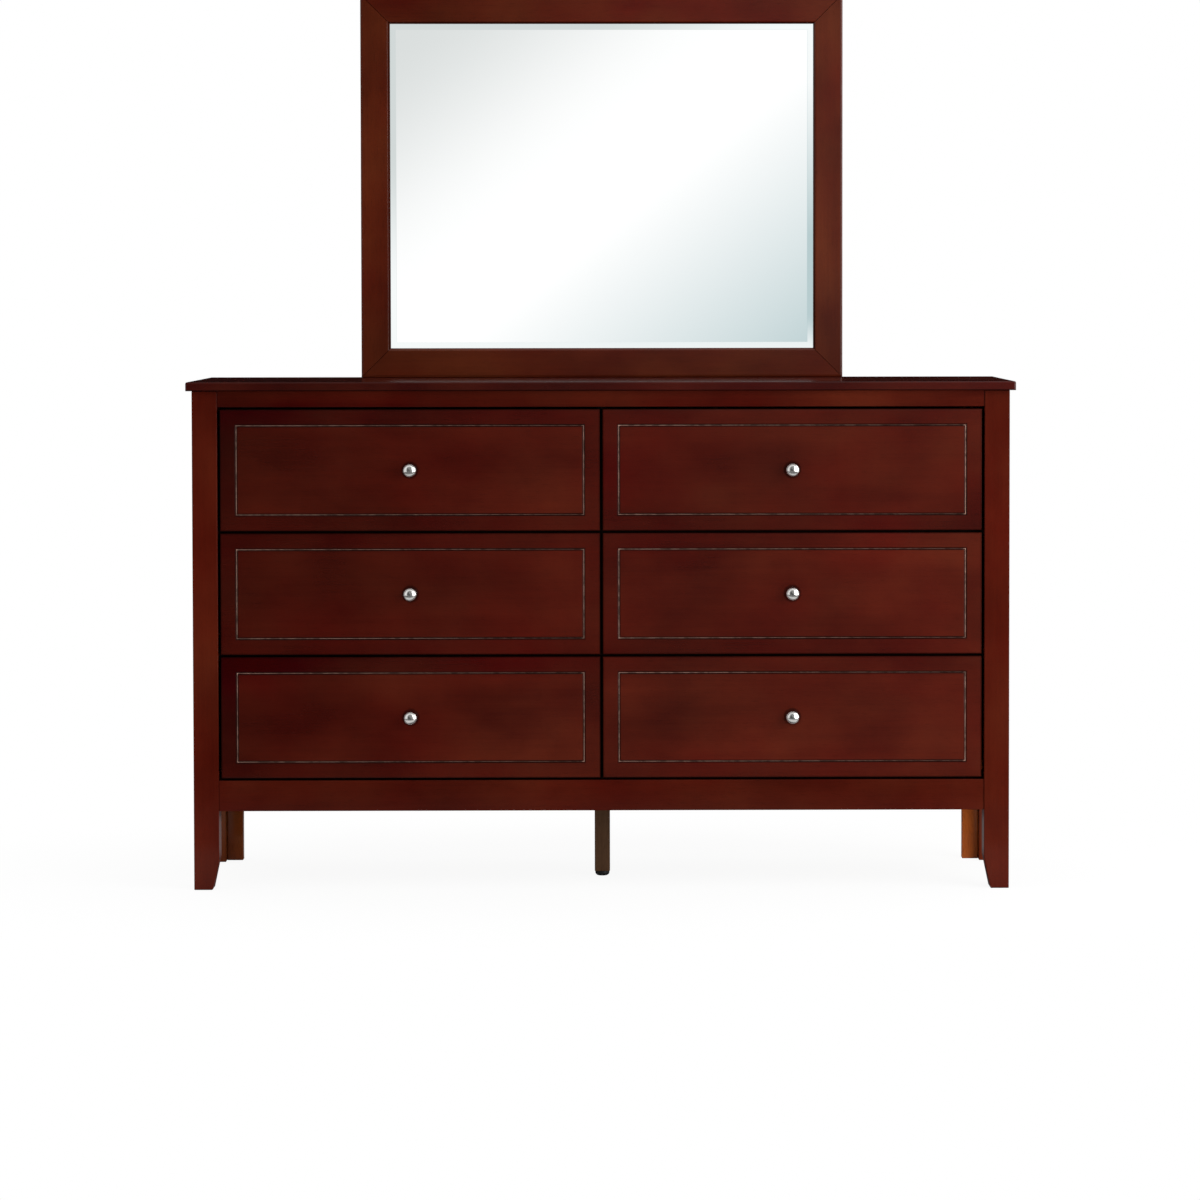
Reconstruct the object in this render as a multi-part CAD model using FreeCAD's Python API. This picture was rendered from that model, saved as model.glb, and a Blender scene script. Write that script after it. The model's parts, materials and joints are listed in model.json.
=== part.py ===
import FreeCAD, Part
import math
import os

os.makedirs("parts", exist_ok=True)

V = FreeCAD.Vector

# A wide dresser with six drawers and a mirror that stands on its top.
# X runs to the right, Y to the back and Z up. The origin is on the floor, under the middle
# of the whole object. All lengths are in millimetres.

# Case
case_width = 1467.0
case_depth = 398.0
leg_clearance = 142.0

# Front posts, which taper on their inner side near the floor
post_side = 45.0
post_foot_width = 33.0
post_taper_height = 57.0
post_edge_round = 1.5

# Rear legs, each an L of two boards
leg_board_thickness = 22.0
rear_leg_width = 52.0
rear_leg_depth = 46.0

# Top
top_thickness = 16.0
top_side_overhang = 10.0
top_front_overhang = 12.0
top_back_overhang = 22.0
top_edge_round = 3.0

# Front rails
front_inset = 2.0
top_rail_height = 29.0
bottom_rail_height = 55.0

# Drawer fronts
drawer_height = 218.0
row_gap = 4.5
side_gap = 5.0
centre_gap = 5.0
front_thickness = 21.5
front_rest_gap = 0.5
front_edge_round = 1.2
groove_offset = 29.0
groove_width = 4.0
groove_floor_width = 1.2
groove_depth = 2.5

# Drawer boxes
box_rear_gap = 12.5
box_head_gap = 32.2
box_board_thickness = 12.0
box_back_drop = 10.0
bottom_thickness = 6.0
bottom_lift = 10.0
bottom_groove_depth = 6.0

# Knobs and their screws
knob_radius = 11.5
knob_reach = 25.0
knob_base_radius = 8.0
knob_base_thickness = 2.0
knob_stem_radius = 5.0
knob_cone_height = 4.0
knob_rim_thickness = 2.0
knob_dome_height = 5.0
knob_screw_radius = 2.0
knob_screw_grip = 10.0
knob_screw_head_radius = 4.0
knob_screw_head_height = 2.5
screw_play = 0.1

# Web frames that carry the drawers
web_thickness = 18.0
divider_depth = 60.0
runner_width = 36.0
runner_lip_thickness = 8.0
runner_lip_height = 10.0
runner_play = 0.3
guide_play = 0.8

# Partition and back
partition_thickness = 18.0
partition_lift = 8.0
back_panel_thickness = 5.0
back_panel_inset = 6.0
rear_top_rail_height = 55.0

# Sides
side_rail_inset = 3.0
side_rail_thickness = 20.0
side_top_rail_height = 60.0
side_panel_inset = 9.0
side_panel_thickness = 8.0

# Centre leg and its glide
centre_leg_side = 28.0
centre_leg_setback = 160.0
glide_radius = 13.0
glide_height = 9.0
glide_round = 6.0

# Mirror frame
mirror_width = 908.0
mirror_height = 721.0
mirror_member_width = 55.0
mirror_member_thickness = 22.0
mirror_outer_round = 3.0
mirror_inner_bevel = 4.0
mirror_lip_thickness = 8.0
rabbet_width = 9.0

# Mirror glass and backing
glass_thickness = 5.0
glass_play = 0.3
glass_bevel_width = 20.0
glass_bevel_depth = 0.6
backing_thickness = 5.0

# Mirror supports and their screws
support_width = 70.0
support_reach_down = 338.0
support_head_gap = 60.0
support_edge_inset = 6.0
support_notch_play = 1.0
support_screw_radius = 2.25
support_screw_length = 30.0
support_screw_head_radius = 4.5
support_screw_head_height = 3.0
support_screw_pitch = 30.0
support_screw_edge = 45.0

# One overrun for cuts that pass right through, and one tolerance for telling edges apart
overrun = 5.0
touch = 0.001

# Share of a radius at the middle of a quarter circle, and a quarter turn in degrees
diagonal_share = 0.5 ** 0.5
quarter_turn = 90.0

row_names = ["bottom", "middle", "top"]
side_signs = {"left": -1, "right": 1}

# Planes along Y
front_reach = max(knob_reach - front_inset, top_front_overhang)
post_face_y = (front_reach - case_depth - top_back_overhang) / 2
front_face_y = post_face_y + front_inset
front_back_y = front_face_y + front_thickness
web_front_y = front_back_y + front_rest_gap
case_back_y = post_face_y + case_depth
rear_board_y = case_back_y - leg_board_thickness
panel_back_y = case_back_y + back_panel_thickness
top_back_y = case_back_y + top_back_overhang
box_back_y = rear_board_y - box_rear_gap

# Places along X, measured from the middle to one side
case_half = case_width / 2
post_inner_x = case_half - post_side
front_near_x = centre_gap / 2
front_far_x = post_inner_x - side_gap
front_middle_x = (front_near_x + front_far_x) / 2
partition_half = partition_thickness / 2
box_near_x = partition_half + runner_lip_thickness + guide_play
box_far_x = front_near_x + front_far_x - box_near_x
rear_board_x = case_half - rear_leg_width

# Heights
row_pitch = drawer_height + row_gap
box_height = row_pitch - web_thickness - runner_play - box_head_gap
first_front_z = leg_clearance + bottom_rail_height + row_gap
case_top_z = first_front_z + len(row_names) * row_pitch + top_rail_height
top_z = case_top_z + top_thickness
partition_foot_z = leg_clearance + partition_lift


def front_foot_z(row):
    """Height of the lower edge of a drawer front."""
    return first_front_z + row * row_pitch


def web_top_z(row):
    """Height of the running surface under a drawer, on a web frame centred on the gap."""
    return front_foot_z(row) - row_gap / 2 + web_thickness / 2


def box_foot_z(row):
    """Height of the lower edges of a drawer's sides."""
    return web_top_z(row) + runner_play


def block(xs, ys, zs):
    """Square-cut board between two places on each axis, in either order."""
    low = V(min(xs), min(ys), min(zs))
    size = V(max(xs), max(ys), max(zs)) - low
    return Part.makeBox(size.x, size.y, size.z, low)


def prism(points, along):
    """Solid swept straight along a vector from a closed flat outline."""
    outline = Part.makePolygon(points + [points[0]])
    return Part.Face(outline).extrude(along)


def eased(shape, radius, is_wanted):
    """Rounds the edges of a shape that a test picks by their two ends."""
    edges = [e for e in shape.Edges if is_wanted(e.firstVertex().Point, e.lastVertex().Point)]
    return shape.makeFillet(radius, edges)


def is_upright(start, end):
    """True for an edge that runs along Z."""
    return abs(start.x - end.x) < touch and abs(start.y - end.y) < touch


def rectangle(half_x, half_z, middle, y):
    """Closed rectangular outline in the plane of one Y, around a middle point."""
    corners = [(-half_x, -half_z), (half_x, -half_z), (half_x, half_z), (-half_x, half_z)]
    points = [V(middle.x + x, y, middle.z + z) for x, z in corners]
    return Part.makePolygon(points + [points[0]])


def frustum(near, far):
    """Solid between two rectangular outlines."""
    return Part.makeLoft([near, far], True, True)


def cylinder_y(radius, x, z, y_start, y_end):
    """Round bar along Y between two places, in either order."""
    start = V(x, min(y_start, y_end), z)
    return Part.makeCylinder(radius, abs(y_end - y_start), start, V(0, 1, 0))


def save(name, solids):
    """Writes one piece, or a group of like pieces, under its node name."""
    shape = solids[0] if len(solids) == 1 else Part.makeCompound(solids)
    shape.exportStep("parts/" + name + ".step")


def mirror_support_x():
    """Middle of a mirror support, beside the outer edge of the mirror."""
    return mirror_width / 2 - support_edge_inset - support_width / 2


def support_screw_places():
    """Middles of the support screws on the right, two in the case and two in the mirror frame."""
    case_z = case_top_z - rear_top_rail_height / 2
    frame_x = (mirror_width - mirror_member_width) / 2
    frame_zs = [top_z + support_screw_edge, top_z + support_screw_edge + mirror_height / 2]
    case_places = [(mirror_support_x() + k * support_screw_pitch / 2, case_z) for k in (-1, 1)]
    return case_places + [(frame_x, z) for z in frame_zs]


def screw_y(x, z, play):
    """Countersunk screw along Y, flush with the backs of the supports; play widens it to a hole."""
    head_start = top_back_y - support_screw_head_height
    shank = cylinder_y(support_screw_radius + play, x, z, top_back_y - support_screw_length - play, top_back_y)
    cone = Part.makeCone(support_screw_radius + play, support_screw_head_radius + play,
                         support_screw_head_height, V(x, head_start, z), V(0, 1, 0))
    return shank.fuse(cone).removeSplitter()


def without_screw_holes(shape):
    """Cuts the holes of all support screws out of a shape."""
    for sign in side_signs.values():
        for x, z in support_screw_places():
            shape = shape.cut(screw_y(sign * x, z, screw_play))
    return shape


def make_top():
    """Top board, rounded along its upper edges, with a notch at the back for each mirror support."""
    half = case_half + top_side_overhang
    board = block((-half, half), (post_face_y - top_front_overhang, top_back_y), (case_top_z, top_z))

    def is_shown(start, end):
        at_back = min(start.y, end.y) > top_back_y - touch
        at_top = min(start.z, end.z) > top_z - touch
        at_front = max(start.y, end.y) < top_back_y - touch and is_upright(start, end)
        return (at_top and not at_back) or at_front

    board = eased(board, top_edge_round, is_shown)
    notch_half = support_width / 2 + support_notch_play
    for sign in side_signs.values():
        middle = sign * mirror_support_x()
        board = board.cut(block((middle - notch_half, middle + notch_half),
                                (panel_back_y, top_back_y + overrun),
                                (case_top_z - overrun, top_z + overrun)))
    save("top_board", [board])


def make_front_post(side, sign):
    """Square post; a wedge is cut from the inner side of its foot."""
    post = block((sign * post_inner_x, sign * case_half), (post_face_y, post_face_y + post_side), (0, case_top_z))
    post = eased(post, post_edge_round, is_upright)
    foot_x = case_half - post_foot_width
    slope = (foot_x - post_inner_x) / post_taper_height
    wedge = prism([V(sign * (post_inner_x - slope * overrun), post_face_y - overrun, post_taper_height + overrun),
                   V(sign * (foot_x + slope * overrun), post_face_y - overrun, -overrun),
                   V(sign * (post_inner_x - slope * overrun), post_face_y - overrun, -overrun)],
                  V(0, post_side + 2 * overrun, 0))
    save("front_post_" + side, [post.cut(wedge)])


def make_rear_leg(side, sign):
    """Side board and back board, which meet as an L."""
    inner_x = case_half - leg_board_thickness
    side_board = block((sign * inner_x, sign * case_half), (case_back_y - rear_leg_depth, case_back_y),
                       (0, case_top_z))
    back_board = block((sign * rear_board_x, sign * inner_x), (rear_board_y, case_back_y), (0, case_top_z))
    save("rear_leg_side_board_" + side, [side_board])
    save("rear_leg_back_board_" + side, [back_board])


def make_side(side, sign):
    """Upper and lower side rail with a thin panel between them."""
    ys = (post_face_y + post_side, case_back_y - rear_leg_depth)
    rail_x = case_half - side_rail_inset
    rail_xs = (sign * rail_x, sign * (rail_x - side_rail_thickness))
    panel_x = case_half - side_panel_inset
    lower_top = leg_clearance + bottom_rail_height
    upper_foot = case_top_z - side_top_rail_height
    rails = [block(rail_xs, ys, (leg_clearance, lower_top)), block(rail_xs, ys, (upper_foot, case_top_z))]
    panel = block((sign * panel_x, sign * (panel_x - side_panel_thickness)), ys, (lower_top, upper_foot))
    save("side_rails_" + side, rails)
    save("side_panel_" + side, [panel])


def make_front_rails():
    """Narrow rail over the drawers and deeper rail under them."""
    xs = (-post_inner_x, post_inner_x)
    ys = (front_face_y, web_front_y)
    save("top_rail", [block(xs, ys, (case_top_z - top_rail_height, case_top_z))])
    save("bottom_rail", [block(xs, ys, (leg_clearance, leg_clearance + bottom_rail_height))])


def make_web_frames():
    """Front rails, rear rails and lipped runners of the frames on which the drawers run."""
    dividers = []
    rear_rails = []
    runners = []
    divider_back_y = web_front_y + divider_depth
    for row in range(len(row_names)):
        high = web_top_z(row)
        zs = (high - web_thickness, high)
        for sign in side_signs.values():
            dividers.append(block((sign * partition_half, sign * post_inner_x), (web_front_y, divider_back_y), zs))
            rear_rails.append(block((sign * partition_half, sign * rear_board_x), (rear_board_y, case_back_y), zs))
            for face_x, inward in ((box_near_x, 1), (box_far_x, -1)):
                lip_inner = face_x - inward * guide_play
                lip_outer = lip_inner - inward * runner_lip_thickness
                base_inner = lip_outer + inward * runner_width
                outline = [(lip_outer, zs[0]), (base_inner, zs[0]), (base_inner, high), (lip_inner, high),
                           (lip_inner, high + runner_lip_height), (lip_outer, high + runner_lip_height)]
                points = [V(sign * x, divider_back_y, z) for x, z in outline]
                runners.append(prism(points, V(0, rear_board_y - divider_back_y, 0)))
    save("divider_rails", dividers)
    save("rear_web_rails", rear_rails)
    save("drawer_runners", runners)


def make_partition_and_back():
    """Centre partition, upper rear rails and the thin panel behind them."""
    zs = (partition_foot_z, case_top_z)
    save("centre_partition", [block((-partition_half, partition_half), (web_front_y, case_back_y), zs)])
    rails = []
    for sign in side_signs.values():
        rail = block((sign * partition_half, sign * rear_board_x), (rear_board_y, case_back_y),
                     (case_top_z - rear_top_rail_height, case_top_z))
        rails.append(without_screw_holes(rail))
    save("rear_top_rails", rails)
    half = case_half - back_panel_inset
    save("back_panel", [without_screw_holes(block((-half, half), (case_back_y, panel_back_y), zs))])


def make_centre_leg():
    """Support leg under the partition, with a dark round glide."""
    half = centre_leg_side / 2
    low_y = post_face_y + centre_leg_setback
    save("centre_leg", [block((-half, half), (low_y, low_y + centre_leg_side), (glide_height, partition_foot_z))])
    disc = Part.makeCylinder(glide_radius, glide_height, V(0, low_y + half, 0))
    glide = eased(disc, glide_round, lambda start, end: max(start.z, end.z) < touch)
    save("centre_leg_glide", [glide])


def mirror_member(length, mitre_height):
    """Mitred frame member, lying along X with its outer edge at Z = 0 and its face at Y = 0."""
    width = mirror_member_width
    thick = mirror_member_thickness
    arc_middle = mirror_outer_round * (1 - diagonal_share)
    rabbet_z = width - rabbet_width
    start = -length / 2
    corners = [(mirror_outer_round, 0), (thick, 0), (thick, rabbet_z), (mirror_lip_thickness, rabbet_z),
               (mirror_lip_thickness, width), (mirror_inner_bevel, width), (0, width - mirror_inner_bevel),
               (0, mirror_outer_round)]
    points = [V(start, y, z) for y, z in corners]
    edges = [Part.LineSegment(a, b).toShape() for a, b in zip(points, points[1:])]
    edges.append(Part.Arc(points[-1], V(start, arc_middle, arc_middle), points[0]).toShape())
    bar = Part.Face(Part.Wire(edges)).extrude(V(length, 0, 0))
    trapezoid = [V(start, -overrun, 0), V(-start, -overrun, 0),
                 V(-start - mitre_height, -overrun, mitre_height), V(start + mitre_height, -overrun, mitre_height)]
    return bar.common(prism(trapezoid, V(0, thick + 2 * overrun, 0)))


def make_mirror_frame():
    """Two rails and two stiles around the glass; the stiles take the support screws."""
    face_y = panel_back_y - mirror_member_thickness
    middle = V(0, 0, top_z + mirror_height / 2)
    places = {"mirror_bottom_rail": (mirror_width, mirror_height, 0),
              "mirror_stile_right": (mirror_height, mirror_width, -quarter_turn),
              "mirror_top_rail": (mirror_width, mirror_height, 2 * quarter_turn),
              "mirror_stile_left": (mirror_height, mirror_width, quarter_turn)}
    for name, (length, across, turn) in places.items():
        member = mirror_member(length, mirror_member_width)
        member.translate(V(0, face_y, -across / 2))
        member.rotate(V(0, 0, 0), V(0, 1, 0), turn)
        member.translate(middle)
        save(name, [without_screw_holes(member)])


def make_mirror_glass():
    """Glass with a bevelled border, and the board that backs it in the rabbet."""
    overlap = mirror_member_width - rabbet_width + glass_play
    half_x = mirror_width / 2 - overlap
    half_z = mirror_height / 2 - overlap
    middle = V(0, 0, top_z + mirror_height / 2)
    front_y = panel_back_y - mirror_member_thickness + mirror_lip_thickness
    shoulder_y = front_y + glass_bevel_depth
    back_y = front_y + glass_thickness
    outer = rectangle(half_x, half_z, middle, shoulder_y)
    inner = rectangle(half_x - glass_bevel_width, half_z - glass_bevel_width, middle, front_y)
    xs = (-half_x, half_x)
    zs = (middle.z - half_z, middle.z + half_z)
    glass = block(xs, (shoulder_y, back_y), zs).fuse(frustum(inner, outer)).removeSplitter()
    save("mirror_glass", [glass])
    save("mirror_backing", [block(xs, (back_y, back_y + backing_thickness), zs)])


def make_mirror_supports():
    """Upright boards behind the case and the mirror, with their screws."""
    supports = []
    screws = []
    half = support_width / 2
    for sign in side_signs.values():
        middle = sign * mirror_support_x()
        board = block((middle - half, middle + half), (panel_back_y, top_back_y),
                      (case_top_z - support_reach_down, top_z + mirror_height - support_head_gap))
        supports.append(without_screw_holes(board))
        screws.extend(screw_y(sign * x, z, 0) for x, z in support_screw_places())
    save("mirror_supports", supports)
    save("support_screws", screws)


def make_drawer_front(name, sign, row):
    """Drawer front with a rectangular groove line and a hole for the knob's screw."""
    foot = front_foot_z(row)
    board = block((sign * front_near_x, sign * front_far_x), (front_face_y, front_back_y),
                  (foot, foot + drawer_height))
    board = eased(board, front_edge_round, lambda start, end: max(start.y, end.y) < front_face_y + touch)
    middle = V(sign * front_middle_x, 0, foot + drawer_height / 2)
    half_x = (front_far_x - front_near_x) / 2 - groove_offset
    half_z = drawer_height / 2 - groove_offset
    floor_y = front_face_y + groove_depth
    wide = groove_width / 2
    narrow = groove_floor_width / 2
    cutter = frustum(rectangle(half_x + wide, half_z + wide, middle, front_face_y),
                     rectangle(half_x + narrow, half_z + narrow, middle, floor_y))
    core = frustum(rectangle(half_x - wide, half_z - wide, middle, front_face_y),
                   rectangle(half_x - narrow, half_z - narrow, middle, floor_y))
    hole = cylinder_y(knob_screw_radius + screw_play, middle.x, middle.z,
                      front_face_y - overrun, front_back_y + overrun)
    save(name + "_front", [board.cut(cutter.cut(core)).cut(hole)])


def make_drawer_box(name, sign, row):
    """Two grooved sides, a back between them and a bottom held in the grooves."""
    foot = box_foot_z(row)
    zs = (foot, foot + box_height)
    ys = (front_back_y, box_back_y)
    bottom_zs = (foot + bottom_lift, foot + bottom_lift + bottom_thickness)
    inner = []
    sides = []
    for outer_x, inward in ((box_near_x, 1), (box_far_x, -1)):
        inner_x = outer_x + inward * box_board_thickness
        groove_x = inner_x - inward * bottom_groove_depth
        board = block((sign * outer_x, sign * inner_x), ys, zs)
        groove = block((sign * groove_x, sign * (inner_x + inward * overrun)),
                       (ys[0] - overrun, ys[1] + overrun), bottom_zs)
        sides.append(board.cut(groove))
        inner.append((inner_x, groove_x))
    (near_x, near_groove), (far_x, far_groove) = inner
    back = block((sign * near_x, sign * far_x), (box_back_y - box_board_thickness, box_back_y),
                 (bottom_zs[1], zs[1] - box_back_drop))
    bottom = block((sign * near_groove, sign * far_groove), ys, bottom_zs)
    save(name + "_sides", sides)
    save(name + "_back", [back])
    save(name + "_bottom", [bottom])


def knob_outline():
    """Half section of a knob: distances from its axis and from the drawer front.

    The base flares into the stem by a quarter circle, a cone widens to the rim, and the
    face is a shallow dome that is part of a sphere.
    """
    head_start = knob_reach - knob_dome_height - knob_rim_thickness - knob_cone_height
    rim_start = head_start + knob_cone_height
    rim_end = rim_start + knob_rim_thickness
    flare = knob_base_radius - knob_stem_radius
    flare_x = knob_base_radius - flare * diagonal_share
    flare_y = knob_base_thickness + flare * (1 - diagonal_share)
    sphere = (knob_radius ** 2 + knob_dome_height ** 2) / (2 * knob_dome_height)
    half_turn = math.asin(knob_radius / sphere) / 2
    dome_x = sphere * math.sin(half_turn)
    dome_y = knob_reach - sphere * (1 - math.cos(half_turn))
    return [[(0, 0), (knob_base_radius, 0)],
            [(knob_base_radius, 0), (knob_base_radius, knob_base_thickness)],
            [(knob_base_radius, knob_base_thickness), (flare_x, flare_y),
             (knob_stem_radius, knob_base_thickness + flare)],
            [(knob_stem_radius, knob_base_thickness + flare), (knob_stem_radius, head_start)],
            [(knob_stem_radius, head_start), (knob_radius, rim_start)],
            [(knob_radius, rim_start), (knob_radius, rim_end)],
            [(knob_radius, rim_end), (dome_x, dome_y), (0, knob_reach)],
            [(0, knob_reach), (0, 0)]]


def make_knob(name, sign, row):
    """Turned knob on the drawer front, and the screw that holds it from inside the drawer."""
    x = sign * front_middle_x
    z = front_foot_z(row) + drawer_height / 2
    edges = []
    for piece in knob_outline():
        points = [V(x + r, front_face_y - y, z) for r, y in piece]
        curve = Part.Arc(*points) if len(points) > 2 else Part.LineSegment(*points)
        edges.append(curve.toShape())
    knob = Part.Face(Part.Wire(edges)).revolve(V(x, front_face_y, z), V(0, 1, 0), 4 * quarter_turn)
    tip_y = front_face_y - knob_screw_grip
    knob = knob.cut(cylinder_y(knob_screw_radius + screw_play, x, z, tip_y - screw_play, front_face_y + overrun))
    shank = cylinder_y(knob_screw_radius, x, z, tip_y, front_back_y)
    head = cylinder_y(knob_screw_head_radius, x, z, front_back_y, front_back_y + knob_screw_head_height)
    save(name + "_knob", [knob, shank.fuse(head)])


make_top()
for side, sign in side_signs.items():
    make_front_post(side, sign)
    make_rear_leg(side, sign)
    make_side(side, sign)
make_front_rails()
make_web_frames()
make_partition_and_back()
make_centre_leg()
make_mirror_frame()
make_mirror_glass()
make_mirror_supports()
for row, row_name in enumerate(row_names):
    for side, sign in side_signs.items():
        drawer_name = "drawer_" + row_name + "_" + side
        make_drawer_front(drawer_name, sign, row)
        make_drawer_box(drawer_name, sign, row)
        make_knob(drawer_name, sign, row)
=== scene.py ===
import bmesh
import bpy
import json
import math
import numpy as np
from mathutils import Matrix, Vector

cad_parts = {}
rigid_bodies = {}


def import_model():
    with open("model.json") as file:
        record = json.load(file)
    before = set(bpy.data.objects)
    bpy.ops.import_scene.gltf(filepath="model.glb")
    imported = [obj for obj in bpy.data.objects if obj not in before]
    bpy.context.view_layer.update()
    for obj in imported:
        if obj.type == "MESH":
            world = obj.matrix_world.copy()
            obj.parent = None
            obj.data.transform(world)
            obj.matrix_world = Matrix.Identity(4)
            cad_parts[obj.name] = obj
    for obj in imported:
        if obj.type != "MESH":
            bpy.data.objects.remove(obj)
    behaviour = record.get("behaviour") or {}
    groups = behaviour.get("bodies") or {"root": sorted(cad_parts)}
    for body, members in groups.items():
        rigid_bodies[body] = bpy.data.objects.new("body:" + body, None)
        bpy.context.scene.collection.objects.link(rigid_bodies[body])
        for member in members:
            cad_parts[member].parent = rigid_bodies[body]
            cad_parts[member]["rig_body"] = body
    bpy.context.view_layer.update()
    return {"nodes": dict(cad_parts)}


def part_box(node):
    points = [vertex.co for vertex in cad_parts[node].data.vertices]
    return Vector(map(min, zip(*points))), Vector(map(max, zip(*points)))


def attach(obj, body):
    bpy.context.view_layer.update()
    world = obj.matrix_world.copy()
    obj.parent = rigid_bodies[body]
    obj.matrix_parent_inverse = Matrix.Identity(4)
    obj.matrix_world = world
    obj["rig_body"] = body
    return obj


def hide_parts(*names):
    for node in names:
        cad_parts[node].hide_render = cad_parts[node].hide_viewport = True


# A wide dresser in glossy dark stain, with six drawers, round metal knobs and a standing
# mirror. X runs to the right, Y to the back and Z up. All lengths are in metres, and mm
# turns millimetres into them.

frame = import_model()
nodes = frame["nodes"]
mm = 0.001
barely = 0.01 * mm
along_x, along_y, along_z = range(3)


# Surfaces

def joined(*columns):
    """Coordinates put together into points; a single number serves for every point."""
    return np.stack(np.broadcast_arrays(*columns), axis=-1)


def add_object(name, data):
    """Object of a mesh, a lamp or a camera, linked to the scene."""
    made = bpy.data.objects.new(name, data)
    bpy.context.scene.collection.objects.link(made)
    return made


def finished_mesh(name, places, faces, marks, sharp_from):
    """Puts arrays of places and faces into a mesh, merges what falls together and turns the
    faces outwards. marks are numbers stored for each vertex, by name."""
    mesh = bpy.data.meshes.new(name)
    mesh.from_pydata(places.reshape(-1, 3).tolist(), [], faces)
    for mark, values in marks.items():
        stored = mesh.attributes.new(mark, "FLOAT", "POINT")
        for_each = np.broadcast_to(values, places.shape[:-1]).astype(np.float32)
        stored.data.foreach_set("value", for_each.ravel())
    work = bmesh.new()
    work.from_mesh(mesh)
    bmesh.ops.remove_doubles(work, verts=work.verts, dist=barely)
    bmesh.ops.dissolve_degenerate(work, edges=work.edges, dist=barely / 2)
    bmesh.ops.recalc_face_normals(work, faces=work.faces)
    work.to_mesh(mesh)
    work.free()
    mesh.polygons.foreach_set("use_smooth", np.ones(len(mesh.polygons), bool))
    mesh.set_sharp_from_angle(angle=math.radians(sharp_from))
    piece = add_object(name, mesh)
    even = piece.modifiers.new("flat faces shade flat", "WEIGHTED_NORMAL")
    even.keep_sharp = True
    even.weight = 100
    return piece


def skin(name, rings, marks, sharp_from=32.0):
    """Skin over a stack of closed rings: rings[i, j] is point j of ring i. A quad joins each
    two neighbours of one ring to the same two of the next, and one flat face fills the first
    ring and the last."""
    count, around = rings.shape[:2]
    index = np.arange(count * around).reshape(count, around)
    ahead = np.roll(index, -1, axis=1)
    quads = joined(index[:-1], ahead[:-1], ahead[1:], index[1:]).reshape(-1, 4).tolist()
    caps = [index[0].tolist(), index[-1][::-1].tolist()]
    return finished_mesh(name, rings, quads + caps, marks, sharp_from)


def quarter_steps(count=4):
    """Angles that divide a quarter turn evenly, from none to the whole of it."""
    return np.linspace(0.0, math.pi / 2, count + 1)


def round_cornered(middle, half, radius, inset):
    """Rings of rectangles with round corners. Point (a, t) of a ring is the centre of corner
    a's round plus (radius - inset) times (cos, sin) of that corner's angle t, so an inset
    draws the whole outline in evenly. The mark is 1 in the middle of a round, 0 on the flats."""
    turn = quarter_steps()
    angle = np.arange(4)[:, None] * math.pi / 2 + turn
    signs = np.array([[1, 1], [-1, 1], [-1, -1], [1, -1]])
    spoke = joined(np.cos(angle), np.sin(angle))
    middle, half, inset = np.broadcast_arrays(np.atleast_2d(middle), np.atleast_2d(half),
                                              np.atleast_1d(inset)[:, None])
    centres = middle[:, None, :] + signs[None] * (half[:, None, :] - radius)
    reach = radius - inset[:, None, None, :1]
    rings = centres[:, :, None, :] + reach * spoke[None]
    return rings.reshape(len(rings), -1, 2), np.tile(np.sin(2 * turn), 4)


def end_rounding(radius, length):
    """Insets and places along a length for an end that rounds over by a quarter circle, at
    both ends: inset r(1 - sin t) at distance r(1 - cos t) from the end."""
    turn = quarter_steps()
    inset = radius * (1 - np.sin(turn))
    along = radius * (1 - np.cos(turn))
    mark = np.sin(2 * turn)
    return (np.concatenate([inset, inset[::-1]]), np.concatenate([along, length - along[::-1]]),
            np.concatenate([mark, mark[::-1]]))


def spread_tone(tone, places, low, high):
    """Tone of each place. A tone is a level, or a level with a change towards the right and a
    change upwards, each of which grows from minus its value at one end to plus at the other.
    The changes are partly stain and partly painted light: the fall of light across a piece."""
    level, rightwards, upwards = tone if isinstance(tone, tuple) else (tone, 0.0, 0.0)
    to_right = (2 * places[..., 0] - low[0] - high[0]) / (high[0] - low[0])
    to_top = (2 * places[..., 2] - low[2] - high[2]) / (high[2] - low[2])
    return level + rightwards * to_right + upwards * to_top


def board(name, low, high, run, radius, tone=0.0, turn=0.0, painted_shade_ends=0.0):
    """Board between two corners: a rectangle with round corners, carried along the axis run,
    whose ends round over by the same radius and, where they meet other wood, can carry painted shade."""
    low, high = np.array(low), np.array(high)
    across = [axis for axis in range(3) if axis != run]
    inset, along, end_mark = end_rounding(radius, high[run] - low[run])
    flat, mark = round_cornered((low + high)[across] / 2, (high - low)[across] / 2, radius, inset)
    rings = np.empty(flat.shape[:2] + (3,))
    rings[..., across] = flat
    rings[..., run] = (low[run] + along)[:, None]
    painted_shade = painted_shade_ends * (inset > barely)
    marks = {"arris": np.maximum(mark[None, :], end_mark[:, None]), "board": turn,
             "tone": spread_tone(tone, rings, low, high), "painted_shade": painted_shade[:, None]}
    return skin(name, rings, marks)


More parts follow.
